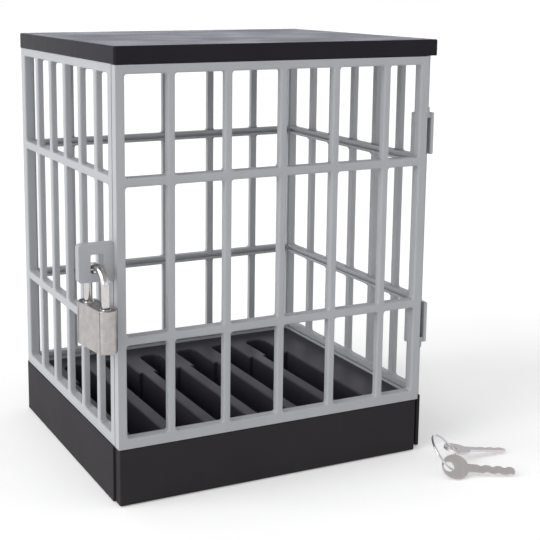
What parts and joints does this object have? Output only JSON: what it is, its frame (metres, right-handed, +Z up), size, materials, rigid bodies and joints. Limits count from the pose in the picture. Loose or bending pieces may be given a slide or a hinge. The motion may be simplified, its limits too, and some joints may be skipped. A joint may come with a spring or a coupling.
{
  "type": "lock box",
  "caption": "Barred plastic box on a slotted base, with a flat lid, a side-hinged front door, a hasp with a small padlock, and keys on a ring.",
  "frame": {"origin": "on the surface the box stands on, under the middle of the box's body", "axes": "+X along the front towards the hinges, +Y from the front to the back, +Z up"},
  "size_m": [0.2503, 0.2185, 0.2401],
  "materials": {
    "grille_plastic": "satin, light grey, slightly pebbled",
    "base_plastic": "satin dark grey",
    "lid_plastic": "satin dark grey, flat top",
    "liner_plastic": "matt dark grey",
    "rack_plastic": "matt dark grey",
    "lock_case": "satin nickel",
    "shackle_chrome": "polished",
    "plug_brass": "turned",
    "bolt_steel": "turned",
    "spring_steel": "drawn wire",
    "ring_steel": "polished wire",
    "key_nickel": "nickel plated",
    "pin_steel": "drawn",
    "screw_steel": "dark zinc"
  },
  "bodies": {
    "cage": {"base_shell": "base_plastic", "base_front_panel": "base_plastic", "base_floor": "liner_plastic", "slotted_rack": "rack_plastic", "left_grille": "grille_plastic", "right_grille": "grille_plastic", "back_grille": "grille_plastic", "lid_top": "lid_plastic", "lid_liner": "liner_plastic", "lid_screw_1": "screw_steel", "lid_screw_2": "screw_steel", "lid_screw_3": "screw_steel", "lid_screw_4": "screw_steel", "base_screw_1": "screw_steel", "base_screw_2": "screw_steel", "base_screw_3": "screw_steel", "base_screw_4": "screw_steel"},
    "door": {"door_grille": "grille_plastic", "upper_hinge_pin": "pin_steel", "lower_hinge_pin": "pin_steel"},
    "shackle": {"padlock_shackle": "shackle_chrome"},
    "lock": {"padlock_case": "lock_case", "padlock_bolt": "bolt_steel", "padlock_spring": "spring_steel"},
    "plug": {"padlock_plug": "plug_brass"},
    "keys": {"key_ring": "ring_steel", "first_key": "key_nickel", "second_key": "key_nickel"}
  },
  "joints": [
    {"name": "door_hinge", "type": "hinge", "parent": "cage", "child": "door", "pos_m": [0.092, -0.0789, 0.13], "axis": [0, 0, 1], "range_deg": [0, 90]},
    {"name": "padlock_swing", "type": "hinge", "parent": "door", "child": "shackle", "pos_m": [-0.105, -0.0775, 0.1295], "axis": [0, 1, 0], "range_deg": [-2, 25]},
    {"name": "padlock_open", "type": "slide", "parent": "shackle", "child": "lock", "axis": [0, 0, -1], "range_m": [0, 0.007]},
    {"name": "plug_turn", "type": "hinge", "parent": "lock", "child": "plug", "pos_m": [-0.105, -0.0775, 0.095], "axis": [0, 0, 1], "range_deg": [0, 90]},
    {"name": "keys_lift", "type": "slide", "parent": "cage", "child": "keys", "axis": [0, 0, 1], "range_m": [0, 0.05]}
  ]
}
